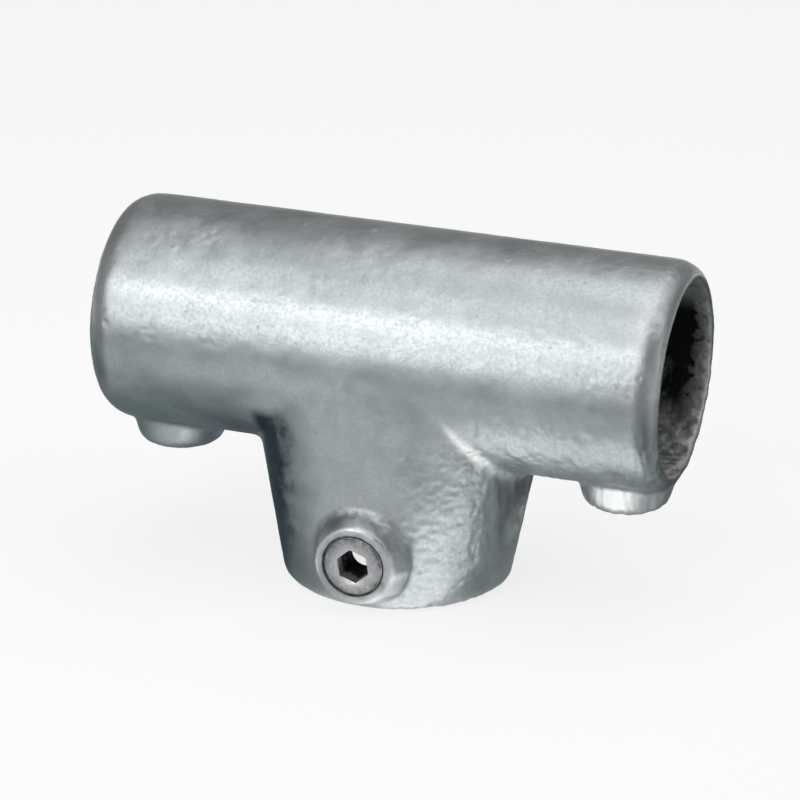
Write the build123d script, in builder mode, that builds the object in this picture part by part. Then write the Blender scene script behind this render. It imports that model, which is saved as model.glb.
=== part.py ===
from build123d import *
from math import cos, radians, tan
import os

# Long tee for clamping structural tube: two rails meet in the barrel, a post enters the leg.
# The fitting is one galvanised iron casting and three hollow set screws, one for each socket.
# Frame: +X along the rails, +Z up, origin where the rail axis and the post axis cross.
# The leg points down, and its set screw faces -Y. All sizes are in millimetres.

# Tube and the sockets that it slides into
tube_diameter = 48.3
tube_clearance = 0.6  # radial gap round the tube
mouth_lead_in = 0.8  # where a socket opens

# Barrel
barrel_length = 155.0
barrel_wall = 5.75
end_bevel_length = 4.3  # along the axis
end_bevel_depth = 2.5  # into the wall
end_bevel_soften = 2.5  # rounds the bevel into the barrel

# Leg
leg_drop = 65.0  # rail axis to the leg's mouth
leg_inset = 0.25  # its flat sides stand this far inside the barrel's sides
leg_flare = 10.5  # degrees that each side leans out towards the barrel
leg_mouth_bevel = 1.4
junction_round = 2.0  # between the leg and the barrel
post_stop = 4.4  # metal left between the post's end and the rail's socket
throat_diameter = 40.0  # opening from the leg's socket into the barrel

# Set screws, 3/8 inch pipe thread shown as plain cylinders
thread_diameter = 16.66
thread_clearance = 0.05  # radial
screw_length = 11.5
screw_bevel = 0.7
key_across_flats = 8.0
cup_diameter = 12.0
cup_depth = 1.0
point_recess = 0.2  # the cup stands this far back from the socket's wall
head_recess = 0.1  # the outer end lies this far under the boss's face

# Bosses that the screws pass through
screw_from_mouth = 15.0
boss_wall = 3.4  # round the thread, where the rim's bevel starts
boss_draft = 9.0  # degrees
boss_rim_bevel = 1.4
boss_root_bevel = 1.0
thread_lead_in = 0.5

socket_radius = tube_diameter / 2 + tube_clearance
barrel_radius = socket_radius + barrel_wall
half_length = barrel_length / 2
leg_radius = barrel_radius - leg_inset
leg_overrun = leg_radius * tan(radians(leg_flare))  # the leg's cylinders start this far below
post_end_drop = socket_radius + post_stop
screw_radius = thread_diameter / 2
hole_radius = screw_radius + thread_clearance
point_reach = socket_radius + point_recess
boss_reach = point_reach + screw_length + head_recess
boss_radius = hole_radius + boss_wall

# One plane for each screw stands on the socket's axis and looks out along the screw.
rail_screw_place = half_length - screw_from_mouth
post_screw_place = leg_drop - screw_from_mouth
screws = {
    "left_set_screw": (Plane((-rail_screw_place, 0, 0), x_dir=(1, 0, 0), z_dir=(0, 0, -1)), 15.0),
    "right_set_screw": (Plane((rail_screw_place, 0, 0), x_dir=(1, 0, 0), z_dir=(0, 0, -1)), 38.0),
    "leg_set_screw": (Plane((0, 0, -post_screw_place), x_dir=(1, 0, 0), z_dir=(0, -1, 0)), 44.0),
}
screw_planes = [plane for plane, _ in screws.values()]

# Casting
with BuildPart() as casting:
    # The leg is two cylinders that lean apart as they rise, with a flat wedge between them.
    for side in (-1, 1):
        foot = Plane((0, 0, -leg_drop)).rotated((0, side * leg_flare, 0))
        with BuildSketch(foot.offset(-leg_overrun)):
            Circle(leg_radius)
        extrude(amount=leg_overrun + leg_drop / cos(radians(leg_flare)))
    spread = leg_drop * tan(radians(leg_flare))
    with BuildSketch(Plane.XZ):
        Polygon((0, -leg_drop), (spread, 0), (-spread, 0), align=None)
    extrude(amount=leg_radius, both=True)
    split(bisect_by=Plane.XY.offset(-leg_drop), keep=Keep.TOP)

    # The barrel is turned from a half section whose ends are bevelled and softened.
    with BuildSketch(Plane.XZ):
        with BuildLine():
            Polyline(
                (-half_length, 0),
                (-half_length, barrel_radius - end_bevel_depth),
                (end_bevel_length - half_length, barrel_radius),
                (half_length - end_bevel_length, barrel_radius),
                (half_length, barrel_radius - end_bevel_depth),
                (half_length, 0),
                close=True,
            )
        make_face()
        fillet(vertices().group_by(Axis.Y)[-1], radius=end_bevel_soften)
    revolve(axis=Axis.X)
    fillet(casting.edges(Select.NEW), radius=junction_round)
    chamfer(casting.edges().group_by(Axis.Z)[0], length=leg_mouth_bevel)

    # Three bosses, drafted as the mould leaves them, with bevelled rims and roots
    with BuildSketch(*[plane.offset(boss_reach - boss_rim_bevel) for plane in screw_planes]) as boss:
        Circle(boss_radius)
    extrude(amount=boss_rim_bevel, taper=45)
    extrude(boss.sketch, amount=socket_radius + boss_rim_bevel - boss_reach, taper=-boss_draft)
    chamfer(casting.edges(Select.NEW), length=boss_root_bevel)

    # The rail socket runs straight through. The leg's socket ends at a stop for the post.
    with BuildSketch(Plane.YZ.offset(-half_length)):
        Circle(socket_radius)
    extrude(amount=barrel_length, mode=Mode.SUBTRACT)
    chamfer(casting.edges(Select.LAST).filter_by(GeomType.CIRCLE), length=mouth_lead_in)
    with BuildSketch(Plane.XY.offset(-leg_drop)):
        Circle(socket_radius)
    extrude(amount=leg_drop - post_end_drop, mode=Mode.SUBTRACT)
    chamfer(casting.edges(Select.LAST).sort_by(Axis.Z)[0], length=mouth_lead_in)
    with BuildSketch(Plane.XY.offset(-post_end_drop)):
        Circle(throat_diameter / 2)
    extrude(amount=post_end_drop, mode=Mode.SUBTRACT)

    # Each screw's hole runs from its boss into the socket.
    with BuildSketch(*[plane.offset(boss_reach) for plane in screw_planes]):
        Circle(hole_radius)
    extrude(amount=-boss_reach, mode=Mode.SUBTRACT)
    chamfer(casting.edges(Select.LAST).filter_by(GeomType.CIRCLE), length=thread_lead_in)

casting.part.label = "casting"

# Set screws, each with a key socket right through and a cupped point
set_screws = []
for name, (plane, key_turn) in screws.items():
    point_plane = plane.offset(point_reach)
    with BuildPart() as screw:
        with BuildSketch(point_plane):
            Circle(screw_radius)
        extrude(amount=screw_length)
        chamfer(screw.edges().filter_by(GeomType.CIRCLE), length=screw_bevel)
        with BuildSketch(point_plane):
            Circle(cup_diameter / 2)
        extrude(amount=cup_depth, taper=45, mode=Mode.SUBTRACT)
        with BuildSketch(point_plane):
            RegularPolygon(key_across_flats / 2, 6, major_radius=False, rotation=key_turn)
        extrude(amount=screw_length, mode=Mode.SUBTRACT)
    screw.part.label = name
    set_screws.append(screw.part)

os.makedirs("parts", exist_ok=True)
for piece in [casting.part, *set_screws]:
    export_step(piece, f"parts/{piece.label}.step")
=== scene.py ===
import bpy
import bmesh
import math
from mathutils import Matrix, Vector


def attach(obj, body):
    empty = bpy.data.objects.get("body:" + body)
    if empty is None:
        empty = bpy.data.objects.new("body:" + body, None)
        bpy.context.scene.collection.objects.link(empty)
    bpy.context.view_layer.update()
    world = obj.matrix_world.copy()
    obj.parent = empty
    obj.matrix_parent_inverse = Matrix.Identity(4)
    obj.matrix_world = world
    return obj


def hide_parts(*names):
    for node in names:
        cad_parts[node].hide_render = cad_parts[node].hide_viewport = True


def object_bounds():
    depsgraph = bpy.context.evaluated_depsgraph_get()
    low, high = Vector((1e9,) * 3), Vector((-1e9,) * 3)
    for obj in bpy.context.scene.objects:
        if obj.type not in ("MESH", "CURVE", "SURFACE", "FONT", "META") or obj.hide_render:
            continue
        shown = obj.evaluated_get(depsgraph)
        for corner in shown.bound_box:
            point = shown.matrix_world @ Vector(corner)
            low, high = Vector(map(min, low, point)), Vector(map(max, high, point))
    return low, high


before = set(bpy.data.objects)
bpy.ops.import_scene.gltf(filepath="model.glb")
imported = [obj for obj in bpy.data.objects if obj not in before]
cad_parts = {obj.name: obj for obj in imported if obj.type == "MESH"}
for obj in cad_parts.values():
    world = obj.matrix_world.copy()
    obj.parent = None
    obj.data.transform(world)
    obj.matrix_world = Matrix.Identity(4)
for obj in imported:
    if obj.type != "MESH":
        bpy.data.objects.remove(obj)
cadLow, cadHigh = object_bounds()
mm = 0.001
railScrew = 62.5 * mm  # how far each rail's screw stands from the middle of the barrel
legScrew = 50.0 * mm  # how far the leg's screw stands below the rails' axis
legBoss = 50.2 * mm  # the same for the middle of its boss, as the zinc has left it


def feed(tree, socket, value):
    if isinstance(value, bpy.types.NodeSocket):
        tree.links.new(value, socket)
    elif value is not None:
        socket.default_value = value


def addNode(tree, kind, inputs=None, **settings):
    node = tree.nodes.new(kind)
    for key, value in settings.items():
        setattr(node, key, value)
    for key, value in (inputs or {}).items():
        feed(tree, node.inputs[key], value)
    return node


def calc(tree, operation, *values):
    node = addNode(tree, "ShaderNodeMath", operation=operation)
    for socket, value in zip(node.inputs, values):
        feed(tree, socket, value)
    return node.outputs[0]


def addUp(tree, *values):
    total = values[0]
    for value in values[1:]:
        total = calc(tree, "ADD", total, value)
    return total


def times(tree, *values):
    product = values[0]
    for value in values[1:]:
        product = calc(tree, "MULTIPLY", product, value)
    return product


def vectorCalc(tree, operation, *values):
    node = addNode(tree, "ShaderNodeVectorMath", operation=operation)
    for socket, value in zip(node.inputs, values):
        feed(tree, socket, value)
    return node.outputs["Value"] if operation in ("LENGTH", "DISTANCE", "DOT_PRODUCT") else node.outputs["Vector"]


def scaled(tree, vector, factor):
    return addNode(
        tree, "ShaderNodeVectorMath", {"Vector": vector, "Scale": factor}, operation="SCALE"
    ).outputs["Vector"]


def joined(tree, x=0.0, y=0.0, z=0.0):
    return addNode(tree, "ShaderNodeCombineXYZ", {"X": x, "Y": y, "Z": z}).outputs[0]


def parted(tree, vector):
    return addNode(tree, "ShaderNodeSeparateXYZ", {0: vector}).outputs


def stretch(tree, value, low, high, outLow=0.0, outHigh=1.0):  # a soft step from low to high
    inputs = {"Value": value, "From Min": low, "From Max": high, "To Min": outLow, "To Max": outHigh}
    return addNode(tree, "ShaderNodeMapRange", inputs, interpolation_type="SMOOTHSTEP").outputs[0]


def zone(tree, value, low, high, outLow=0.0, outHigh=1.0):  # the same, with its ends in millimetres
    return stretch(tree, value, low * mm, high * mm, outLow, outHigh)


def noise(tree, where, size, seed=0.0, detail=2.0, roughness=0.5, distortion=0.0):  # size is a lump's width
    inputs = {"Vector": where, "W": seed, "Scale": calc(tree, "DIVIDE", 1.0, size)}
    inputs.update({"Detail": detail, "Roughness": roughness, "Distortion": distortion})
    return addNode(tree, "ShaderNodeTexNoise", inputs, noise_dimensions="4D").outputs[0]


def blendColours(tree, factor, first, second, how="MIX"):
    node = addNode(tree, "ShaderNodeMix", data_type="RGBA", blend_type=how)
    feed(tree, node.inputs[0], factor)
    for socket, colour in ((node.inputs[6], first), (node.inputs[7], second)):
        feed(tree, socket, (*colour, 1.0) if isinstance(colour, tuple) else colour)
    return node.outputs[2]


def newTree(name, kind, inputs, outputs):
    tree = bpy.data.node_groups.new(name, kind)
    for direction, sockets in (("INPUT", inputs), ("OUTPUT", outputs)):
        for socketName, value in sockets.items():
            socketKind = value if isinstance(value, str) else "Vector" if isinstance(value, tuple) else "Float"
            socket = tree.interface.new_socket(
                name=socketName, in_out=direction, socket_type="NodeSocket" + socketKind
            )
            if not isinstance(value, str):
                socket.default_value = value
    return tree, tree.nodes.new("NodeGroupInput").outputs, tree.nodes.new("NodeGroupOutput").inputs


def useGroup(tree, group, inputs):
    node = tree.nodes.new("ShaderNodeGroup" if tree.type == "SHADER" else "GeometryNodeGroup")
    node.node_tree = group
    for key, value in inputs.items():
        feed(tree, node.inputs[key], value)
    return node.outputs


def addTree(piece, tree, values):
    modifier = piece.modifiers.new(tree.name, "NODES")
    modifier.node_group = tree
    for item in tree.interface.items_tree:
        if item.item_type == "SOCKET" and item.in_out == "INPUT" and item.name in values:
            modifier[item.identifier] = values[item.name]
    return modifier


def softenedPlaces(tree, position, rounds):  # each point's place, averaged with its neighbours
    blur = addNode(tree, "GeometryNodeBlurAttribute", {"Iterations": rounds}, data_type="FLOAT_VECTOR")
    feed(tree, [socket for socket in blur.inputs if socket.enabled][0], position)
    return [socket for socket in blur.outputs if socket.enabled][0]


def bakePiece(piece, name):
    bpy.context.view_layer.update()
    evaluated = piece.evaluated_get(bpy.context.evaluated_depsgraph_get())
    mesh = bpy.data.meshes.new_from_object(evaluated)
    mesh.name = name
    bpy.data.objects.remove(piece)
    made = bpy.data.objects.new(name, mesh)
    bpy.context.scene.collection.objects.link(made)
    return made


def smoothPiece(piece, sharpDegrees):
    piece.data.polygons.foreach_set("use_smooth", [True] * len(piece.data.polygons))
    piece.data.set_sharp_from_angle(angle=math.radians(sharpDegrees))


def report(piece):
    triangles = sum(len(face.vertices) - 2 for face in piece.data.polygons)
    corners = [round(value / mm, 2) for corner in (piece.bound_box[0], piece.bound_box[6]) for value in corner]
    print(piece.name, "has", triangles, "triangles, box", corners)


# Zinc tone: soft patches with finer specks, for anything that came out of a zinc bath


def makeZincTone():
    inputs = {"Vector": (0.0, 0.0, 0.0), "Patch Size": 0.01, "Speck Size": 0.001, "Seed": 0.0}
    tree, given, made = newTree("zincTone", "ShaderNodeTree", inputs, {"Patches": 0.0, "Specks": 0.0})
    patches = noise(tree, given["Vector"], given["Patch Size"], given["Seed"], 3.0, 0.6, 0.4)
    specks = noise(tree, given["Vector"], given["Speck Size"], given["Seed"], 2.0, 0.6)
    feed(tree, made["Patches"], stretch(tree, patches, 0.32, 0.68))
    feed(tree, made["Specks"], stretch(tree, specks, 0.34, 0.68))
    return tree


# Skin grain: the height of small ripples and pinholes


def makeSkinGrain():
    inputs = {"Vector": (0.0, 0.0, 0.0), "Grain Size": 0.001, "Ripple Size": 0.003, "Pinholes": 0.5, "Seed": 0.0}
    tree, given, made = newTree("skinGrain", "ShaderNodeTree", inputs, {"Height": 0.0, "Pinholes": 0.0})
    grain = noise(tree, given["Vector"], given["Grain Size"], given["Seed"], 3.0, 0.55)
    ripple = noise(tree, given["Vector"], given["Ripple Size"], given["Seed"], 1.0, 0.5, 0.5)
    cells = addNode(
        tree,
        "ShaderNodeTexVoronoi",
        {"Vector": given["Vector"], "Scale": calc(tree, "DIVIDE", 0.22, given["Grain Size"])},
    )
    rare = stretch(tree, parted(tree, cells.outputs["Color"])[0], 0.80, 0.84)
    holes = times(tree, stretch(tree, cells.outputs["Distance"], 0.16, 0.05), rare, given["Pinholes"])
    height = addUp(tree, times(tree, grain, 0.38), times(tree, ripple, 0.62), times(tree, holes, -0.6))
    feed(tree, made["Height"], height)
    feed(tree, made["Pinholes"], holes)
    return tree


# Hollow shade: painted shade that gathers where the surface is hollow, broken up by noise


def makeHollowShade():
    inputs = {"Vector": (0.0, 0.0, 0.0), "Hollow": 0.0, "Amount": 1.0, "Size": 0.003}
    tree, given, made = newTree("paintedHollowShade", "ShaderNodeTree", inputs, {"Painted Shade": 0.0})
    broken = stretch(tree, noise(tree, given["Vector"], given["Size"], 7.0, 3.0, 0.6), 0.30, 0.65, 0.45, 1.0)
    feed(tree, made["Painted Shade"], calc(tree, "MINIMUM", times(tree, given["Hollow"], broken, given["Amount"]), 1.0))
    return tree


zincTone = makeZincTone()
skinGrain = makeSkinGrain()
paintedHollowShade = makeHollowShade()


def newMaterial(name, roughness, metallic):
    material = bpy.data.materials.new(name)
    material.use_nodes = True
    tree = material.node_tree
    shader = tree.nodes["Principled BSDF"]
    shader.inputs["Roughness"].default_value = roughness
    shader.inputs["Metallic"].default_value = metallic
    return material, tree, shader.inputs


galvanised = {
    "light": (0.485, 0.512, 0.518),
    "mid": (0.39, 0.417, 0.422),
    "dark": (0.295, 0.32, 0.325),
    # pale tone painted on the bores' walls where light reaches in
    "socket": (0.60, 0.615, 0.585),
    # near-black painted shade deep in the rails' bores
    "deep": (0.002, 0.002, 0.002),
    # painted shade colour for hollows, threads and pits
    "hollowShade": (0.045, 0.045, 0.043),
    # lighter zinc for worn convex edges, also used as painted highlight in the fillets
    "rim": (0.62, 0.63, 0.64),
    # painted highlight colour for the bosses' sides, the drips and the bead
    "bright": (0.79, 0.80, 0.80),
    "shadow": (0.16, 0.17, 0.175),
    # painted dark reflection colour for the leg's left side
    "paintedDarkReflection": (0.020, 0.042, 0.064),
}


def paintCasting():
    material, tree, inputs = newMaterial("galvanisedCasting", 0.4, 1.0)
    where = addNode(tree, "ShaderNodeTexCoord").outputs["Object"]
    x, y, z = parted(tree, where)
    hollow = addNode(tree, "ShaderNodeAttribute", attribute_name="hollow").outputs["Fac"]
    rim = addNode(tree, "ShaderNodeAttribute", attribute_name="rim").outputs["Fac"]
    tone = useGroup(tree, zincTone, {"Vector": where, "Patch Size": 9 * mm, "Speck Size": 0.9 * mm, "Seed": 1.0})
    broad = useGroup(tree, zincTone, {"Vector": where, "Patch Size": 26 * mm, "Speck Size": 2.4 * mm, "Seed": 4.0})
    grain = useGroup(
        tree,
        skinGrain,
        {"Vector": where, "Grain Size": 0.9 * mm, "Ripple Size": 3.2 * mm, "Pinholes": 0.35, "Seed": 2.0},
    )
    # painted shade in the casting's hollows, crevices and tapped threads
    crevice = calc(tree, "MAXIMUM", stretch(tree, hollow, 0.55, 1.0), stretch(tree, hollow, 0.06, 0.35, 0.0, 0.30))
    hollowShade = useGroup(
        tree, paintedHollowShade, {"Vector": where, "Hollow": crevice, "Amount": 1.0, "Size": 2.5 * mm}
    )["Painted Shade"]

    colour = blendColours(tree, tone["Patches"], galvanised["mid"], galvanised["light"])
    colour = blendColours(tree, times(tree, broad["Patches"], 0.45), colour, galvanised["dark"])
    colour = blendColours(tree, times(tree, tone["Specks"], 0.30), colour, galvanised["dark"])
    colour = blendColours(tree, times(tree, rim, 0.3), colour, galvanised["rim"])
    along = calc(tree, "ABSOLUTE", x)
    # painted shade: a soft dark band round the bevel at each rail mouth, strongest near mid height
    paintedShadeAtMouths = times(
        tree,
        zone(tree, along, 70.6, 73.0),
        zone(tree, along, 76.0, 74.2),
        zone(tree, z, 14, 2, 0.1, 0.7),
        zone(tree, z, -17, -8),
    )
    colour = blendColours(tree, paintedShadeAtMouths, colour, galvanised["shadow"])
    fromBoss = vectorCalc(tree, "LENGTH", joined(tree, calc(tree, "SUBTRACT", along, railScrew), y))
    across = calc(tree, "MULTIPLY_ADD", calc(tree, "SIGN", x), -railScrew, x)
    # painted highlight on the sides of the rails' bosses, weaker towards their left
    paintedBossHighlight = times(
        tree,
        zone(tree, fromBoss, 13.8, 12.8),
        zone(tree, z, -25, -29, 0.0, 0.95),
        zone(tree, across, -10, 2, 0.1, 1.0),
    )
    colour = blendColours(tree, paintedBossHighlight, colour, galvanised["bright"])
    worn = vectorCalc(tree, "SUBTRACT", where, (-32 * mm, -10 * mm, 29 * mm))
    worn = addUp(
        tree,
        vectorCalc(tree, "LENGTH", vectorCalc(tree, "MULTIPLY", worn, (0.5, 1.0, 1.0))),
        times(tree, tone["Patches"], 5 * mm),
    )
    colour = blendColours(tree, zone(tree, worn, 17, 8, 0.0, 0.5), colour, galvanised["dark"])
    fromScrew = vectorCalc(tree, "LENGTH", joined(tree, x, z=addUp(tree, z, legBoss)))
    # painted shade on the right of the leg boss's root
    paintedShadeBesideScrew = times(
        tree,
        zone(tree, fromScrew, 14.4, 13.4),
        zone(tree, x, 6.0, 9.0),
        zone(tree, z, -51, -55),
        zone(tree, y, -27, -29),
    )
    colour = blendColours(tree, times(tree, paintedShadeBesideScrew, 0.45), colour, galvanised["shadow"])
    # painted highlight on the drips at the right edge of the leg
    paintedDripHighlight = vectorCalc(tree, "DISTANCE", where, (34 * mm, -2 * mm, -45 * mm))
    colour = blendColours(tree, zone(tree, paintedDripHighlight, 9, 4, 0.0, 0.8), colour, galvanised["bright"])
    # painted highlight in the fillets where leg meets barrel, which are also made smoother
    corner = stretch(tree, hollow, 0.04, 0.34)
    paintedFilletHighlight = times(tree, corner, stretch(tree, hollow, 0.8, 0.6), zone(tree, z, -38, -33), zone(tree, y, 0, -8))
    colour = blendColours(tree, times(tree, paintedFilletHighlight, 0.45), colour, galvanised["rim"])
    # painted highlight along the bead on the right of the join between leg and barrel
    bead = calc(tree, "ABSOLUTE", addUp(tree, times(tree, x, 0.8), times(tree, z, 0.6), -10.7 * mm))
    bead = times(
        tree,
        zone(tree, addUp(tree, bead, times(tree, tone["Patches"], 0.9 * mm)), 2.6, 0.6),
        zone(tree, x, 19, 23),
        zone(tree, y, 0, -6),
        zone(tree, z, -34, -28),
        stretch(tree, hollow, 0.8, 0.6),
    )
    colour = blendColours(tree, times(tree, bead, 0.55), colour, galvanised["bright"])
    # painted dark reflection: a blue-black band that grows from the left of the leg towards its front
    darkBandEdge = times(tree, calc(tree, "ADD", x, times(tree, y, -0.82)), 0.77)
    darkBandEdge = addUp(
        tree,
        darkBandEdge,
        times(tree, tone["Patches"], 4.0 * mm),
        times(tree, broad["Specks"], 2.5 * mm),
        times(tree, zone(tree, z, -30, -60), 3.0 * mm),
    )
    paintedDarkReflection = times(
        tree,
        zone(tree, darkBandEdge, 6.5, -3.5),
        zone(tree, x, -16, -21),
        zone(tree, y, 3, -8),
        zone(tree, z, -13, -18),
        zone(tree, z, -62, -36, 0.45, 0.92),
    )
    colour = blendColours(tree, times(tree, paintedDarkReflection, zone(tree, x, -33.5, -30.5)), colour, galvanised["paintedDarkReflection"])
    inRails = zone(tree, vectorCalc(tree, "LENGTH", joined(tree, y, z)), 25.6, 25.1)
    inLeg = times(
        tree, zone(tree, vectorCalc(tree, "LENGTH", joined(tree, x, y)), 25.6, 25.1), zone(tree, z, -20, -21)
    )
    inside = calc(tree, "MAXIMUM", inRails, inLeg)
    # painted light and shade in the bores: mottled pale walls, near-black deeper in the rails' bores at mid height
    paintedBoreShading = blendColours(
        tree,
        times(tree, broad["Specks"], zone(tree, z, 6, 18, 0.65, 0.3)),
        galvanised["socket"],
        galvanised["deep"],
    )
    depth = addUp(tree, along, times(tree, broad["Specks"], 3 * mm), times(tree, tone["Patches"], 2 * mm))
    deep = times(
        tree,
        zone(tree, depth, 77.5, 73.8),
        inRails,
        zone(tree, calc(tree, "ABSOLUTE", addUp(tree, z, 2 * mm)), 20, 11),
    )
    paintedBoreShading = blendColours(tree, deep, paintedBoreShading, galvanised["deep"])
    colour = blendColours(tree, times(tree, inside, 0.95), colour, paintedBoreShading)
    # painted shade: hollows and pinholes darkened, made rougher and less metallic
    hollowAndPitShade = calc(tree, "MAXIMUM", hollowShade, times(tree, grain["Pinholes"], 0.45))
    colour = blendColours(tree, hollowAndPitShade, colour, galvanised["hollowShade"])
    feed(tree, inputs["Base Color"], colour)

    rough = addUp(
        tree,
        0.34,
        times(tree, paintedFilletHighlight, -0.08),
        times(tree, tone["Patches"], 0.05),
        times(tree, tone["Specks"], 0.07),
        times(tree, inside, 0.25),
        times(tree, hollowAndPitShade, 0.25),
    )
    feed(tree, inputs["Roughness"], rough)
    feed(tree, inputs["Metallic"], calc(tree, "SUBTRACT", 1.0, times(tree, hollowAndPitShade, 0.8)))
    bump = addNode(tree, "ShaderNodeBump", {"Strength": 0.55, "Distance": 0.12 * mm, "Height": grain["Height"]})
    feed(tree, inputs["Normal"], bump.outputs[0])
    return material


steel = {
    "face": (0.50, 0.50, 0.515),
    "worn": (0.62, 0.62, 0.63),
    "dark": (0.22, 0.22, 0.23),
    # painted shade colour for the thread roots and inside the key
    "hollowShade": (0.012, 0.014, 0.020),
}


def paintScrews():
    material, tree, inputs = newMaterial("setScrewSteel", 0.38, 1.0)
    where = addNode(tree, "ShaderNodeTexCoord").outputs["Object"]
    hollow = addNode(tree, "ShaderNodeAttribute", attribute_name="hollow").outputs["Fac"]
    turned = addNode(tree, "ShaderNodeAttribute", attribute_name="turned").outputs["Fac"]
    tone = useGroup(tree, zincTone, {"Vector": where, "Patch Size": 4 * mm, "Speck Size": 0.5 * mm, "Seed": 9.0})
    # painted shade in the thread roots and down the hex key
    hollowShade = useGroup(
        tree, paintedHollowShade, {"Vector": where, "Hollow": hollow, "Amount": 1.0, "Size": 1.2 * mm}
    )["Painted Shade"]
    colour = blendColours(tree, tone["Patches"], steel["face"], steel["worn"])
    colour = blendColours(tree, times(tree, tone["Specks"], 0.35), colour, steel["dark"])
    colour = blendColours(tree, hollowShade, colour, steel["hollowShade"])
    feed(tree, inputs["Base Color"], colour)
    feed(tree, inputs["Roughness"], addUp(tree, 0.33, times(tree, tone["Specks"], 0.10), times(tree, hollowShade, 0.3)))
    feed(tree, inputs["Metallic"], calc(tree, "SUBTRACT", 1.0, times(tree, hollowShade, 0.9)))
    feed(tree, inputs["Specular IOR Level"], 0.2)
    rings = calc(tree, "SINE", times(tree, turned, math.tau / (0.22 * mm)))
    height = addUp(tree, times(tree, rings, 0.2), tone["Specks"])
    bump = addNode(tree, "ShaderNodeBump", {"Strength": 0.35, "Distance": 0.03 * mm, "Height": height})
    feed(tree, inputs["Normal"], bump.outputs[0])
    return material


galvanisedCasting = paintCasting()
setScrewSteel = paintScrews()
print("materials are ready")


# Threaded rod: a cylinder along z whose wall follows a right-hand rounded thread

setScrew = {
    "Radius": 8.33 * mm,
    "Length": 11.5 * mm,
    "Pitch": 1.337 * mm,
    "Thread Depth": 0.82 * mm,
    "End Bevel": 0.85 * mm,
    "Key Across Flats": 8.0 * mm,
    "Key Depth": 7.5 * mm,
    "Key Mouth": 0.22 * mm,
    "Drill Radius": 3.9 * mm,
    "Cup Radius": 6.0 * mm,
    "Cup Depth": 1.0 * mm,
}
pointReach = 24.95 * mm  # from the socket's axis to the screw's point
screwPlaces = {
    "left": {"at": (-railScrew, 0, 0), "out": (0, 0, -1), "tilt": math.radians(180), "keyTurn": math.radians(15)},
    "right": {"at": (railScrew, 0, 0), "out": (0, 0, -1), "tilt": math.radians(180), "keyTurn": math.radians(38)},
    "leg": {"at": (0, 0, -legScrew), "out": (0, -1, 0), "tilt": math.radians(90), "keyTurn": math.radians(41)},
}


def makeThreadedRod():
    inputs = {
        "Radius": 0.008, "Length": 0.011, "Pitch": 0.0013, "Thread Depth": 0.0008, "End Bevel": 0.0, "Slices": "Int"
    }
    tree, given, made = newTree("threadedRod", "GeometryNodeTree", inputs, {"Geometry": "Geometry"})
    sides = {"Vertices": 96, "Side Segments": given["Slices"], "Radius": given["Radius"], "Depth": given["Length"]}
    rod = addNode(tree, "GeometryNodeMeshCylinder", sides, fill_type="TRIANGLE_FAN").outputs["Mesh"]
    position = addNode(tree, "GeometryNodeInputPosition").outputs[0]
    x, y, z = parted(tree, position)
    reach = vectorCalc(tree, "LENGTH", joined(tree, x, y))
    phase = calc(
        tree,
        "SUBTRACT",
        times(tree, calc(tree, "DIVIDE", z, given["Pitch"]), math.tau),
        calc(tree, "ARCTAN2", y, x),
    )
    groove = calc(tree, "MULTIPLY_ADD", calc(tree, "COSINE", phase), -0.5, 0.5)
    threaded = calc(tree, "SUBTRACT", given["Radius"], times(tree, groove, given["Thread Depth"]))
    toEnd = calc(tree, "SUBTRACT", times(tree, given["Length"], 0.5), calc(tree, "ABSOLUTE", z))
    bevelled = addUp(tree, given["Radius"], times(tree, given["End Bevel"], -1.0), toEnd)
    scale = calc(tree, "DIVIDE", calc(tree, "MINIMUM", threaded, bevelled), given["Radius"])
    onWall = calc(tree, "GREATER_THAN", reach, times(tree, given["Radius"], 0.9))
    moved = vectorCalc(tree, "MULTIPLY", position, joined(tree, scale, scale, 1.0))
    shaped = addNode(tree, "GeometryNodeSetPosition", {"Geometry": rod, "Selection": onWall, "Position": moved})
    feed(tree, made["Geometry"], shaped.outputs[0])
    return tree


def keepValue(tree, geometry, name, value):
    inputs = {"Geometry": geometry, "Name": name, "Value": value}
    return addNode(tree, "GeometryNodeStoreNamedAttribute", inputs, data_type="FLOAT", domain="POINT").outputs[0]


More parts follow.
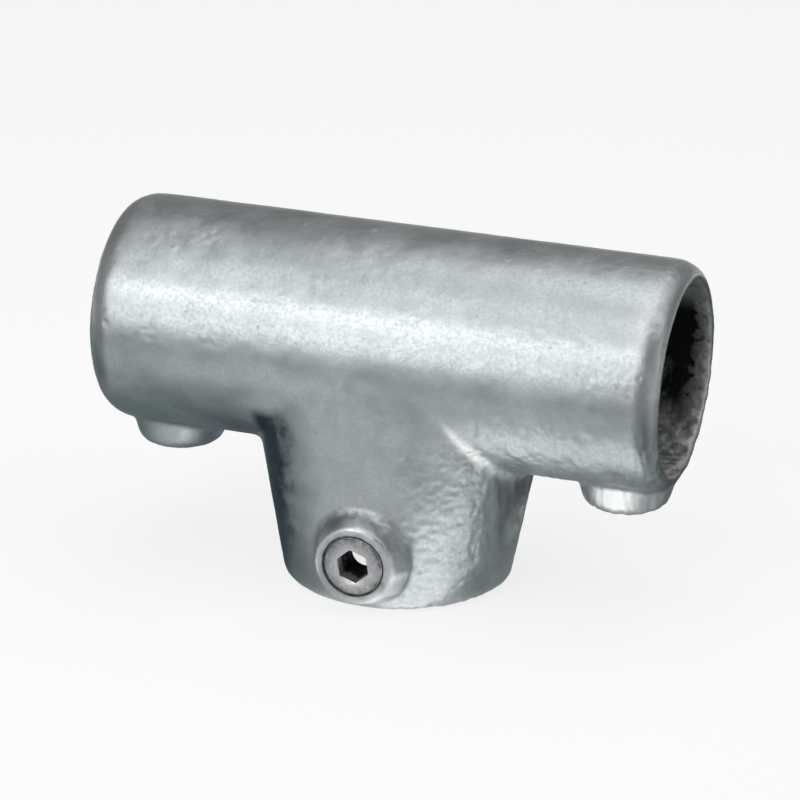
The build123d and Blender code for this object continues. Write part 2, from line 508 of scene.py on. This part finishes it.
def makeSetScrewTree():
    inputs = {
        "Geometry": "Geometry",
        **setScrew,
        "Key Turn": 0.0,
        "Centre": (0.0, 0.0, 0.0),
        "Tilt": 0.0,
        "Material": "Material",
    }
    tree, given, made = newTree("setScrew", "GeometryNodeTree", inputs, {"Geometry": "Geometry"})
    rodInputs = {name: given[name] for name in ("Radius", "Length", "Pitch", "Thread Depth", "End Bevel")}
    rod = useGroup(tree, threadedRod, {**rodInputs, "Slices": 92})[0]
    half = times(tree, given["Length"], 0.5)
    keyRadius = calc(tree, "DIVIDE", given["Key Across Flats"], 2 * math.cos(math.radians(30)))
    key = addNode(
        tree,
        "GeometryNodeMeshCylinder",
        {"Vertices": 6, "Radius": keyRadius, "Depth": times(tree, given["Key Depth"], 2.0)},
    ).outputs[0]
    keyPlace = {"Geometry": key, "Rotation": joined(tree, z=given["Key Turn"]), "Translation": joined(tree, z=half)}
    keyTool = addNode(tree, "GeometryNodeTransform", keyPlace).outputs[0]
    drillInputs = {"Vertices": 48, "Radius": given["Drill Radius"], "Depth": times(tree, given["Length"], 1.5)}
    drillTool = addNode(tree, "GeometryNodeMeshCylinder", drillInputs).outputs["Mesh"]
    mouthInputs = {
        "Vertices": 64,
        "Radius Top": addUp(tree, keyRadius, given["Key Mouth"]),
        "Radius Bottom": calc(tree, "SUBTRACT", keyRadius, given["Key Mouth"]),
        "Depth": given["Key Mouth"],
    }
    mouth = addNode(tree, "GeometryNodeMeshCone", mouthInputs).outputs["Mesh"]
    mouthRise = calc(tree, "MULTIPLY_ADD", given["Key Mouth"], -0.9, half)
    mouthTool = addNode(
        tree, "GeometryNodeTransform", {"Geometry": mouth, "Translation": joined(tree, z=mouthRise)}
    ).outputs[0]
    cupInputs = {
        "Vertices": 96,
        "Radius Top": calc(tree, "SUBTRACT", given["Cup Radius"], given["Cup Depth"]),
        "Radius Bottom": addUp(tree, given["Cup Radius"], given["Cup Depth"]),
        "Depth": times(tree, given["Cup Depth"], 2.0),
    }
    cup = addNode(tree, "GeometryNodeMeshCone", cupInputs).outputs["Mesh"]
    cupDrop = calc(tree, "SUBTRACT", times(tree, half, -1.0), given["Cup Depth"])
    cupTool = addNode(
        tree, "GeometryNodeTransform", {"Geometry": cup, "Translation": joined(tree, z=cupDrop)}
    ).outputs[0]
    cut = addNode(tree, "GeometryNodeMeshBoolean", {"Mesh 1": rod}, operation="DIFFERENCE", solver="MANIFOLD")
    for tool in (keyTool, drillTool, mouthTool, cupTool):
        tree.links.new(tool, cut.inputs["Mesh 2"])
    x, y, z = parted(tree, addNode(tree, "GeometryNodeInputPosition").outputs[0])
    reach = vectorCalc(tree, "LENGTH", joined(tree, x, y))
    # painted shade: the thread roots and the inside of the hex key are stored as hollow
    threadShade = stretch(
        tree,
        reach,
        calc(tree, "SUBTRACT", given["Radius"], 0.25 * mm),
        calc(tree, "SUBTRACT", given["Radius"], given["Thread Depth"]),
    )
    onThread = zone(tree, reach, 7.35, 7.55)
    inKey = times(
        tree,
        zone(tree, reach, 5.2, 4.9),
        stretch(tree, z, addUp(tree, half, -0.2 * mm), addUp(tree, half, -1.2 * mm)),
    )
    marked = keepValue(tree, cut.outputs[0], "turned", reach)
    marked = keepValue(
        tree, marked, "hollow", calc(tree, "MAXIMUM", times(tree, threadShade, onThread), times(tree, inKey, 2.2))
    )
    placed = addNode(
        tree,
        "GeometryNodeTransform",
        {"Geometry": marked, "Translation": given["Centre"], "Rotation": joined(tree, x=given["Tilt"])},
    )
    real = addNode(tree, "GeometryNodeRealizeInstances", {"Geometry": placed.outputs[0]})
    painted = addNode(tree, "GeometryNodeSetMaterial", {"Geometry": real.outputs[0], "Material": given["Material"]})
    feed(tree, made["Geometry"], painted.outputs[0])
    return tree


threadedRod = makeThreadedRod()
setScrewTree = makeSetScrewTree()
for side, place in screwPlaces.items():
    blank = bpy.data.objects.new("blank", bpy.data.meshes.new("blank"))
    bpy.context.scene.collection.objects.link(blank)
    centre = Vector(place["at"]) + Vector(place["out"]) * (pointReach + setScrew["Length"] / 2)
    values = {
        **setScrew, "Key Turn": place["keyTurn"], "Centre": centre, "Tilt": place["tilt"], "Material": setScrewSteel
    }
    addTree(blank, setScrewTree, values)
    screw = bakePiece(blank, side + "Screw")
    smoothPiece(screw, 32)
    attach(screw, side + "_screw")
    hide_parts(side + "_set_screw")
    report(screw)


# Casting: the CAD form, given its skin of zinc and then tapped for the screws

blankForm = {
    "voxel": 0.7 * mm,
    "smoothing": 5,
    "triangles": 135000,
    "socketRadius": 24.75 * mm,
    "bossFace": 36.55 * mm,
    "plugRadius": 9.4 * mm,
    "weld": 0.002 * mm,
    "evening": 0.35,
    "railBoss": {"faceRadius": 11.95 * mm, "rootRadius": 13.85 * mm, "depth": 11.5 * mm, "drop": 29.4 * mm},
    "legRim": {"behind": 34.6 * mm, "inner": 11 * mm, "outer": 12.2 * mm, "radius": 11.0 * mm, "face": 36.0 * mm},
    "bossRoot": {
        "at": (1.1 * mm, 0, -50.3 * mm),
        "radius": 13.4 * mm,
        "faceRadius": 10.3 * mm,
        "face": 36.2 * mm,
        "depth": 6.6 * mm,
        "sides": 11,
    },
}
skin = {
    "Swell Size": 16 * mm, "Swell Depth": 0.30 * mm,
    "Lump Size": 4.6 * mm, "Lump Depth": 0.20 * mm,
    "Grain Size": 2.1 * mm, "Grain Depth": 0.07 * mm,
    "Wrinkle Size": 1.5 * mm, "Wrinkle Depth": 0.30 * mm,
    "Run Size": 1.5 * mm, "Run Depth": 0.26 * mm,
    "Crinkle Depth": 0.12 * mm,
    "Frill Height": 0.22 * mm,
    "Bead Height": 0.38 * mm,
    "Mouth Rounding": 14,
    "Seed": 3.0,
}
# each mark: where on the skin, its radius, and its height, all in millimetres; a negative height is a pit
marks = (
    ((-72.8, -29.3, 8.4), 1.1, -0.26), ((-71.7, -30.0, 5.4), 1.3, -0.28), ((-67.1, -29.3, 8.6), 0.9, -0.20),
    ((70.7, -29.3, 8.5), 1.0, -0.24), ((72.4, -28.8, 9.9), 0.8, -0.22), ((67.8, -29.7, 6.9), 0.8, -0.16),
    ((70.1, -30.2, 4.2), 0.8, -0.16),
    ((76.4, -26.0, -12.1), 1.5, -0.35), ((75.1, -25.0, -15.3), 1.3, -0.30),
    ((18.0, -24.9, -64.2), 1.6, -0.90), ((14.6, -26.6, -64.6), 1.5, -0.45), ((11.0, -28.2, -64.8), 1.1, -0.25),
    ((-26.2, -3.6, 30.3), 1.0, 0.28), ((-7.5, -1.8, 30.4), 1.3, 0.25), ((-56.6, -18.5, 24.3), 0.9, 0.22),
    ((31.0, -9.0, 29.2), 0.8, 0.20),
    ((-8.8, -30.3, -3.3), 1.5, 0.30), ((-4.7, -30.2, -4.4), 1.3, 0.28), ((-6.6, -30.5, -1.3), 1.1, 0.25),
    ((34.6, -1.5, -42.3), 2.2, 1.00), ((33.9, -2.5, -46.2), 1.8, 0.80), ((32.8, -2.3, -52.2), 1.6, 0.65),
    ((35.6, -2.0, -38.0), 1.5, 0.50),
    ((57.0, 9.0, -35.8), 2.6, 0.40), ((24.0, 25.5, -12.0), 2.2, 0.45), ((-40.0, 29.0, 9.0), 1.6, 0.30),
)
tapping = {
    "Radius": setScrew["Radius"] + 0.06 * mm,
    "Pitch": setScrew["Pitch"],
    "Thread Depth": setScrew["Thread Depth"],
    "Mouth Gap": 0.06 * mm,
    "Mouth Depth": 0.9 * mm,
    "From": pointReach,
    "To": pointReach + setScrew["Length"],
}


def makeZincSkin():
    inputs = {
        "Geometry": "Geometry",
        **skin,
        "Mouth Rounding": "Int",
        "Lowest": (0.0, 0.0, 0.0),
        "Highest": (0.0, 0.0, 0.0),
    }
    tree, given, made = newTree("zincSkin", "GeometryNodeTree", inputs, {"Geometry": "Geometry"})
    position = addNode(tree, "GeometryNodeInputPosition").outputs[0]
    normal = addNode(tree, "GeometryNodeInputNormal").outputs[0]
    x, y, z = parted(tree, position)
    seed = given["Seed"]
    swell = times(tree, noise(tree, position, given["Swell Size"], seed, 1.0), given["Swell Depth"])
    lumps = times(tree, noise(tree, position, given["Lump Size"], seed, 2.0), given["Lump Depth"])
    grain = times(tree, noise(tree, position, given["Grain Size"], seed, 1.0), given["Grain Depth"])
    # frays the zones below
    edge = calc(tree, "MULTIPLY_ADD", noise(tree, position, 8 * mm, seed, 3.0, 0.6), 18 * mm, -9 * mm)

    # the outer edges of the rails' mouths and bosses are rounder than the rest
    softened = softenedPlaces(tree, position, given["Mouth Rounding"])
    fromAxis = vectorCalc(tree, "LENGTH", joined(tree, y, z))
    atMouths = times(tree, zone(tree, calc(tree, "ABSOLUTE", x), 68, 70), zone(tree, fromAxis, 26.6, 27.8))
    fromRailBoss = vectorCalc(
        tree, "LENGTH", joined(tree, calc(tree, "SUBTRACT", calc(tree, "ABSOLUTE", x), railScrew), y)
    )
    atBosses = times(
        tree,
        zone(tree, fromRailBoss, 9.6, 10.6),
        zone(tree, fromRailBoss, 15, 14),
        zone(tree, z, -29, -32, 0.0, 0.8),
    )
    rounded = scaled(
        tree, vectorCalc(tree, "SUBTRACT", softened, position), calc(tree, "MAXIMUM", atMouths, atBosses)
    )

    # wrinkles lie across the right front of the leg
    flattened = vectorCalc(tree, "MULTIPLY", position, (0.45, 0.45, 1.0))
    folds = stretch(tree, noise(tree, flattened, given["Wrinkle Size"], seed, 2.0, 0.55, 1.1), 0.36, 0.64)
    onRight = times(tree, zone(tree, addUp(tree, x, edge), 5, 11), zone(tree, addUp(tree, x, edge), 31, 25))
    onFront = times(tree, zone(tree, y, -9, -14), zone(tree, addUp(tree, z, edge), -12, -20))
    fromBoss = vectorCalc(tree, "LENGTH", joined(tree, x, z=addUp(tree, z, legBoss)))
    wrinkles = times(tree, folds, onRight, onFront, zone(tree, fromBoss, 13.4, 15.4), given["Wrinkle Depth"])

    # runs of zinc creep down the lower right of the barrel
    around = times(tree, calc(tree, "ARCTAN2", z, y), cadHigh.z * 0.3)
    runs = stretch(tree, noise(tree, joined(tree, x, around), given["Run Size"], seed, 2.0, 0.5, 0.5), 0.36, 0.66)
    lowRight = times(tree, zone(tree, addUp(tree, x, edge), 22, 32), zone(tree, addUp(tree, z, edge), 0, -7))
    runs = times(tree, runs, lowRight, given["Run Depth"])

    # crinkles fade in over the middle of the barrel and the upper leg
    crinkled = stretch(tree, noise(tree, position, 1.7 * mm, addUp(tree, seed, 2.0), 2.0, 0.6, 0.8), 0.4, 0.62)
    patches = stretch(tree, noise(tree, position, 13 * mm, addUp(tree, seed, 8.0), 2.0), 0.50, 0.64)
    crinkles = times(tree, crinkled, patches, given["Crinkle Depth"])

    # zinc has gathered in a frill above the root of the leg's boss
    ring = times(tree, zone(tree, fromBoss, 11.8, 12.8), zone(tree, fromBoss, 14.4, 13.0))
    above = times(tree, zone(tree, z, -47, -42), zone(tree, y, -25, -28))
    frill = times(
        tree,
        ring,
        above,
        stretch(tree, noise(tree, position, 2.2 * mm, seed, 2.0), 0.35, 0.7),
        given["Frill Height"],
    )

    # a bead runs down the right of the join between leg and barrel
    wander = times(tree, noise(tree, position, 5 * mm, seed, 1.0), 2.4 * mm)
    alongBead = calc(tree, "ABSOLUTE", addUp(tree, times(tree, x, 0.8), times(tree, z, 0.6), wander, -11.9 * mm))
    where = times(
        tree, zone(tree, x, 19, 22), zone(tree, y, 2, -4), zone(tree, z, -35, -30), zone(tree, fromAxis, 29, 30)
    )
    bead = times(
        tree,
        zone(tree, alongBead, 1.7, 0.2),
        where,
        stretch(tree, noise(tree, position, 3.0 * mm, seed, 2.0), 0.2, 0.6, 0.5, 1.0),
        given["Bead Height"],
    )

    height = calc(
        tree, "SUBTRACT", addUp(tree, frill, bead), addUp(tree, swell, lumps, grain, wrinkles, runs, crinkles)
    )
    wobble = addNode(
        tree, "ShaderNodeTexNoise", {"Vector": position, "Scale": 700.0, "Detail": 1.0}
    ).outputs["Color"]
    wobbly = vectorCalc(
        tree, "ADD", position, scaled(tree, vectorCalc(tree, "SUBTRACT", wobble, (0.5, 0.5, 0.5)), 1.6 * mm)
    )
    for spot, radius, rise in marks:
        away = vectorCalc(tree, "DISTANCE", wobbly, tuple(value * mm for value in spot))
        height = addUp(tree, height, stretch(tree, away, radius * mm, 0.0, 0.0, rise * mm))
    moved = vectorCalc(tree, "ADD", vectorCalc(tree, "ADD", position, rounded), scaled(tree, normal, height))
    kept = vectorCalc(tree, "MINIMUM", vectorCalc(tree, "MAXIMUM", moved, given["Lowest"]), given["Highest"])
    shaped = addNode(tree, "GeometryNodeSetPosition", {"Geometry": given["Geometry"], "Position": kept})
    feed(tree, made["Geometry"], shaped.outputs[0])
    return tree


def makeTapping():
    inputs = {"Geometry": "Geometry", **tapping, "Material": "Material"}
    tree, given, made = newTree("tapping", "GeometryNodeTree", inputs, {"Geometry": "Geometry"})
    length = addUp(tree, calc(tree, "SUBTRACT", given["To"], given["From"]), 6 * mm)
    rodInputs = {
        "Radius": given["Radius"],
        "Length": length,
        "Pitch": given["Pitch"],
        "Thread Depth": given["Thread Depth"],
        "End Bevel": 0.0,
        "Slices": 140,
    }
    middle = times(tree, addUp(tree, given["To"], given["From"]), 0.5)
    rod = useGroup(tree, threadedRod, rodInputs)[0]
    rodTool = addNode(
        tree, "GeometryNodeTransform", {"Geometry": rod, "Translation": joined(tree, z=middle)}
    ).outputs[0]
    mouthInputs = {
        "Vertices": 96,
        "Radius": addUp(tree, given["Radius"], given["Mouth Gap"]),
        "Depth": times(tree, given["Mouth Depth"], 2.0),
    }
    mouth = addNode(tree, "GeometryNodeMeshCylinder", mouthInputs).outputs["Mesh"]
    mouthTool = addNode(
        tree, "GeometryNodeTransform", {"Geometry": mouth, "Translation": joined(tree, z=given["To"])}
    ).outputs[0]
    cut = addNode(
        tree, "GeometryNodeMeshBoolean", {"Mesh 1": given["Geometry"]}, operation="DIFFERENCE", solver="MANIFOLD"
    )
    position = addNode(tree, "GeometryNodeInputPosition").outputs[0]
    nearest = None
    for place in screwPlaces.values():
        for tool in (rodTool, mouthTool):
            turned = addNode(
                tree,
                "GeometryNodeTransform",
                {"Geometry": tool, "Translation": place["at"], "Rotation": (place["tilt"], 0.0, 0.0)},
            )
            tree.links.new(turned.outputs[0], cut.inputs["Mesh 2"])
        fromAxis = vectorCalc(
            tree,
            "LENGTH",
            vectorCalc(tree, "CROSS_PRODUCT", vectorCalc(tree, "SUBTRACT", position, place["at"]), place["out"]),
        )
        outwards = vectorCalc(tree, "DOT_PRODUCT", position, place["out"])
        inHole = times(tree, zone(tree, fromAxis, 8.62, 8.48), zone(tree, outwards, 24, 25))
        nearest = inHole if nearest is None else calc(tree, "MAXIMUM", nearest, inHole)

    # how far each point lies behind or before its smoothed neighbourhood
    softened = softenedPlaces(tree, position, 9)
    normal = addNode(tree, "GeometryNodeInputNormal").outputs[0]
    sink = vectorCalc(tree, "DOT_PRODUCT", vectorCalc(tree, "SUBTRACT", softened, position), normal)
    # hollow is full inside the tapped threads, where the casting's paint darkens them as painted shade
    hollow = calc(tree, "MAXIMUM", zone(tree, sink, 0.05, 0.45, 0.0, 0.5), nearest)
    marked = keepValue(tree, cut.outputs[0], "hollow", hollow)
    marked = keepValue(tree, marked, "rim", zone(tree, sink, -0.10, -0.38))
    real = addNode(tree, "GeometryNodeRealizeInstances", {"Geometry": marked})
    painted = addNode(tree, "GeometryNodeSetMaterial", {"Geometry": real.outputs[0], "Material": given["Material"]})
    feed(tree, made["Geometry"], painted.outputs[0])
    return tree


def makeBlank():
    form = bmesh.new()
    form.from_mesh(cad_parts["casting"].data)
    bmesh.ops.remove_doubles(form, verts=form.verts, dist=blankForm["weld"])
    low, high = blankForm["socketRadius"], blankForm["bossFace"]
    for place in screwPlaces.values():  # the screw holes are filled here and tapped later
        turn = Matrix.Rotation(place["tilt"], 4, "X")
        where = Matrix.Translation(Vector(place["at"]) + Vector(place["out"]) * (low + high) / 2) @ turn
        radius = blankForm["plugRadius"]
        bmesh.ops.create_cone(
            form, cap_ends=True, segments=64, radius1=radius, radius2=radius, depth=high - low, matrix=where
        )
    rim = blankForm["legRim"]
    for vert in form.verts:  # the leg's boss has a crisper rim than the others
        out = Vector((vert.co.x, 0, vert.co.z + legScrew))
        if vert.co.y < -rim["behind"] and rim["inner"] < out.length < rim["outer"]:
            vert.co = Vector((0, -rim["face"], -legScrew)) + out.normalized() * rim["radius"]
    boss = blankForm["railBoss"]
    radii = {"radius1": boss["faceRadius"], "radius2": boss["rootRadius"]}
    for side in ("left", "right"):  # rounder than the boss's own facets
        where = Matrix.Translation(Vector(screwPlaces[side]["at"]) - Vector((0, 0, boss["drop"])))
        bmesh.ops.create_cone(form, cap_ends=True, segments=96, **radii, depth=boss["depth"], matrix=where)
    root = blankForm["bossRoot"]
    radii = {"radius1": root["radius"], "radius2": root["faceRadius"]}
    where = Matrix.Translation(Vector(root["at"]) - Vector((0, root["face"] - root["depth"] / 2, 0)))
    where = where @ Matrix.Rotation(math.radians(90), 4, "X")
    bmesh.ops.create_cone(form, cap_ends=True, segments=root["sides"], **radii, depth=root["depth"], matrix=where)
    mesh = bpy.data.meshes.new("castingBlank")
    form.to_mesh(mesh)
    form.free()
    blank = bpy.data.objects.new("castingBlank", mesh)
    bpy.context.scene.collection.objects.link(blank)
    remesh = blank.modifiers.new("remesh", "REMESH")
    remesh.mode = "VOXEL"
    remesh.voxel_size = blankForm["voxel"]
    smooth = blank.modifiers.new("smooth", "SMOOTH")
    smooth.factor = 0.5
    smooth.iterations = blankForm["smoothing"]
    return blank


blank = makeBlank()
addTree(blank, makeZincSkin(), {**skin, "Lowest": cadLow, "Highest": cadHigh})
skinned = bakePiece(blank, "skinnedCasting")
report(skinned)
thin = skinned.modifiers.new("thin", "DECIMATE")
thin.ratio = min(1.0, blankForm["triangles"] / sum(len(face.vertices) - 2 for face in skinned.data.polygons))
even = skinned.modifiers.new("even", "SMOOTH")
even.factor = blankForm["evening"]
even.iterations = 1
addTree(skinned, makeTapping(), {**tapping, "Material": galvanisedCasting})
castBody = bakePiece(skinned, "clampBody")
smoothPiece(castBody, 45)
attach(castBody, "fitting")
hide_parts("casting")
report(castBody)


# Floor, lights and camera

studio = {
    "floorColour": (0.90, 0.90, 0.90),
    "floorRadius": 8.0,
    "floorGlow": 0.8,  # the share of the floor that shows as plain pale background
    "background": 0.99,
    "backdrop": 0.93,
    "worldLight": 0.29,
    "cameraTurn": 19.059,
    "cameraRise": 21.603,
    "cameraRoll": 0.889,
    "cameraDistance": 0.984,
    "cameraTarget": (-0.26 * mm, 0.0, -17.11 * mm),
    "lens": 168.0,
}
softboxes = {
    "key": {"at": (-0.355, -1.03, 0.71), "aim": (0.02, 0, 0), "size": (0.9, 0.30), "power": 4.45},
    "frontLow": {"at": (-0.417, -1.21, 0.226), "aim": (0, 0, 0), "size": (0.5, 0.3), "power": 2.3},
    "frontHigh": {"at": (-0.224, -0.65, 1.10), "aim": (0, 0, 0), "size": (0.9, 0.4), "power": 2.1},
    "top": {"at": (0.02, -0.11, 1.295), "aim": (0, 0, 0), "size": (1.2, 1.0), "power": 4.4},
    "backTop": {"at": (0.243, 0.705, 1.065), "aim": (0, 0, 0), "size": (1.0, 0.6), "power": 1.7},
    "right": {"at": (0.95, -0.17, 0.26), "aim": (0, 0, 0), "size": (0.4, 0.4), "power": 0.45},
    "rightLow": {"at": (0.625, -0.645, 0.06), "aim": (0.05, 0, 0), "size": (0.3, 0.25), "power": 0.20},
    "rightHigh": {"at": (0.56, -0.12, 0.72), "aim": (0.05, 0, 0), "size": (0.3, 0.3), "power": 0.5},
    "overRight": {"at": (-0.02, 0.12, 0.50), "aim": (0.03, 0, 0.03), "size": (0.22, 0.22), "power": 0.24},
}
# a glowing sheet of painted shade and painted light, seen only in the metal's reflections: its dark zones stand for
# shadows on the floor, its bounces for lit patches
tableCard = {  # lies on the floor round the fitting, and only the metal sees it
    "reach": 380 * mm,
    "grey": (0.72, 0.755, 0.76),
    "near": (0.345, 0.385, 0.388),
    "front": (0.78, 0.78, 0.79),
    "far": (0.20, 0.215, 0.22),
    "leftShade": (0.19, 0.235, 0.24),
    "darkest": (0.09, 0.12, 0.14),
    "rightShade": (0.10, 0.105, 0.11),
    "bounces": (  # each: where, its reach along x and y, and its brightness
        ((43 * mm, -45 * mm), (46 * mm, 24 * mm), 1.5),
        ((20 * mm, -36 * mm), (18 * mm, 10 * mm), 1.9),
        ((-48 * mm, -112 * mm), (46 * mm, 34 * mm), 1.2),
        ((-35 * mm, -51 * mm), (11 * mm, 8 * mm), 2.6),
    ),
}


def direction(turn, rise):
    a, e = math.radians(turn), math.radians(rise)
    return Vector((math.sin(a) * math.cos(e), -math.cos(a) * math.cos(e), math.sin(e)))


def makeFlat(name, corners, material):
    mesh = bpy.data.meshes.new(name)
    mesh.from_pydata(corners, [], [list(range(len(corners)))])
    mesh.materials.append(material)
    flat = bpy.data.objects.new(name, mesh)
    bpy.context.scene.collection.objects.link(flat)
    return flat


def makeFloor():
    material, tree, inputs = newMaterial("floorPaint", 0.9, 0.0)
    feed(tree, inputs["Base Color"], (*studio["floorColour"], 1.0))
    feed(tree, inputs["Specular IOR Level"], 0.1)
    rays = addNode(tree, "ShaderNodeLightPath").outputs
    seen = calc(
        tree, "MINIMUM", addUp(tree, rays["Is Camera Ray"], rays["Is Glossy Ray"], rays["Is Transmission Ray"]), 1.0
    )
    glow = addNode(tree, "ShaderNodeEmission", {"Color": (1.0, 1.0, 1.0, 1.0), "Strength": studio["background"]})
    mix = addNode(tree, "ShaderNodeMixShader", {0: times(tree, seen, studio["floorGlow"])})
    tree.links.new(tree.nodes["Principled BSDF"].outputs[0], mix.inputs[1])
    tree.links.new(glow.outputs[0], mix.inputs[2])
    tree.links.new(mix.outputs[0], tree.nodes["Material Output"].inputs["Surface"])
    reach = studio["floorRadius"]
    around = [math.tau * i / 96 for i in range(96)]
    makeFlat("floor", [(reach * math.cos(a), reach * math.sin(a), cadLow.z) for a in around], material)


def makeTableCard():
    material, tree, inputs = newMaterial("tableCardPaint", 1.0, 0.0)
    where = addNode(tree, "ShaderNodeTexCoord").outputs["Object"]
    x, y, z = parted(tree, where)
    colour = blendColours(tree, zone(tree, y, -90, -60), tableCard["grey"], tableCard["near"])
    far = times(tree, zone(tree, y, -150, -200), zone(tree, y, -375, -330), zone(tree, x, 90, 40))
    colour = blendColours(tree, far, colour, tableCard["far"])
    onRight = times(tree, zone(tree, x, 95, 130), zone(tree, y, -190, -140), zone(tree, y, 20, -20))
    colour = blendColours(tree, onRight, colour, tableCard["near"])
    middle = times(tree, zone(tree, x, -24, -6), zone(tree, x, 34, 18), zone(tree, y, -90, -62))
    colour = blendColours(tree, middle, colour, tableCard["front"])
    colour = blendColours(
        tree, times(tree, zone(tree, x, -10, -30), zone(tree, y, -44, -16)), colour, tableCard["leftShade"]
    )
    besideLeg = times(tree, zone(tree, x, -16, -30), zone(tree, x, -78, -52), zone(tree, y, -26, -6))
    colour = blendColours(tree, besideLeg, colour, tableCard["darkest"])
    colour = blendColours(
        tree, times(tree, zone(tree, x, 20, 60), zone(tree, y, -12, 30)), colour, tableCard["rightShade"]
    )
    for place, (across, deep), brightness in tableCard["bounces"]:
        away = vectorCalc(tree, "SUBTRACT", where, (*place, 0.0))
        away = vectorCalc(tree, "LENGTH", vectorCalc(tree, "MULTIPLY", away, (1 / across, 1 / deep, 0.0)))
        colour = blendColours(
            tree, stretch(tree, away, 1.15, 0.75), colour, (brightness, brightness, brightness * 0.99)
        )
    # the card glows with its painted shade and light, though it is no lamp
    glow = addNode(tree, "ShaderNodeEmission", {"Color": colour, "Strength": 1.0})
    tree.links.new(glow.outputs[0], tree.nodes["Material Output"].inputs["Surface"])
    reach, height = tableCard["reach"], cadLow.z + 0.1 * mm
    card = makeFlat(
        "tableCard",
        [(-reach, -reach, height), (reach, -reach, height), (reach, reach, height), (-reach, reach, height)],
        material,
    )
    card.visible_camera = card.visible_diffuse = card.visible_shadow = card.visible_transmission = False


def makeSoftboxes():
    for name, box in softboxes.items():
        lamp = bpy.data.lights.new(name, "AREA")
        lamp.shape = "RECTANGLE"
        lamp.size, lamp.size_y = box["size"]
        lamp.energy = box["power"]
        holder = bpy.data.objects.new(name, lamp)
        holder.location = box["at"]
        holder.rotation_mode = "QUATERNION"
        holder.rotation_quaternion = (Vector(box["at"]) - Vector(box["aim"])).to_track_quat("Z", "Y")
        holder.visible_camera = False
        bpy.context.scene.collection.objects.link(holder)
    world = bpy.data.worlds.new("studio")
    world.use_nodes = True
    tree = world.node_tree
    rays = addNode(tree, "ShaderNodeLightPath").outputs
    # glossy rays are left out on purpose: the metal mirrors the dim world, and not the pale one
    seen = calc(tree, "MINIMUM", addUp(tree, rays["Is Camera Ray"], rays["Is Transmission Ray"]), 1.0)
    strength = calc(tree, "MULTIPLY_ADD", seen, studio["backdrop"] - studio["worldLight"], studio["worldLight"])
    feed(tree, tree.nodes["Background"].inputs["Color"], (1.0, 1.0, 1.0, 1.0))
    feed(tree, tree.nodes["Background"].inputs["Strength"], strength)
    bpy.context.scene.world = world


def makeCamera():
    back = direction(studio["cameraTurn"], studio["cameraRise"])
    turn, roll = math.radians(studio["cameraTurn"]), math.radians(studio["cameraRoll"])
    right = Vector((math.cos(turn), math.sin(turn), 0))
    up = back.cross(right)
    axes = (right * math.cos(roll) + up * math.sin(roll), up * math.cos(roll) - right * math.sin(roll), back)
    lens = bpy.data.cameras.new("camera")
    lens.lens = studio["lens"]
    lens.sensor_width = 36
    lens.clip_start, lens.clip_end = 0.05, 50
    camera = bpy.data.objects.new("camera", lens)
    spot = Vector(studio["cameraTarget"]) + back * studio["cameraDistance"]
    camera.matrix_world = Matrix.Translation(spot) @ Matrix(axes).transposed().to_4x4()
    bpy.context.scene.collection.objects.link(camera)
    bpy.context.scene.camera = camera


makeFloor()
makeTableCard()
makeSoftboxes()
makeCamera()
bpy.context.scene.view_settings.view_transform = "Standard"
print("stage is set")
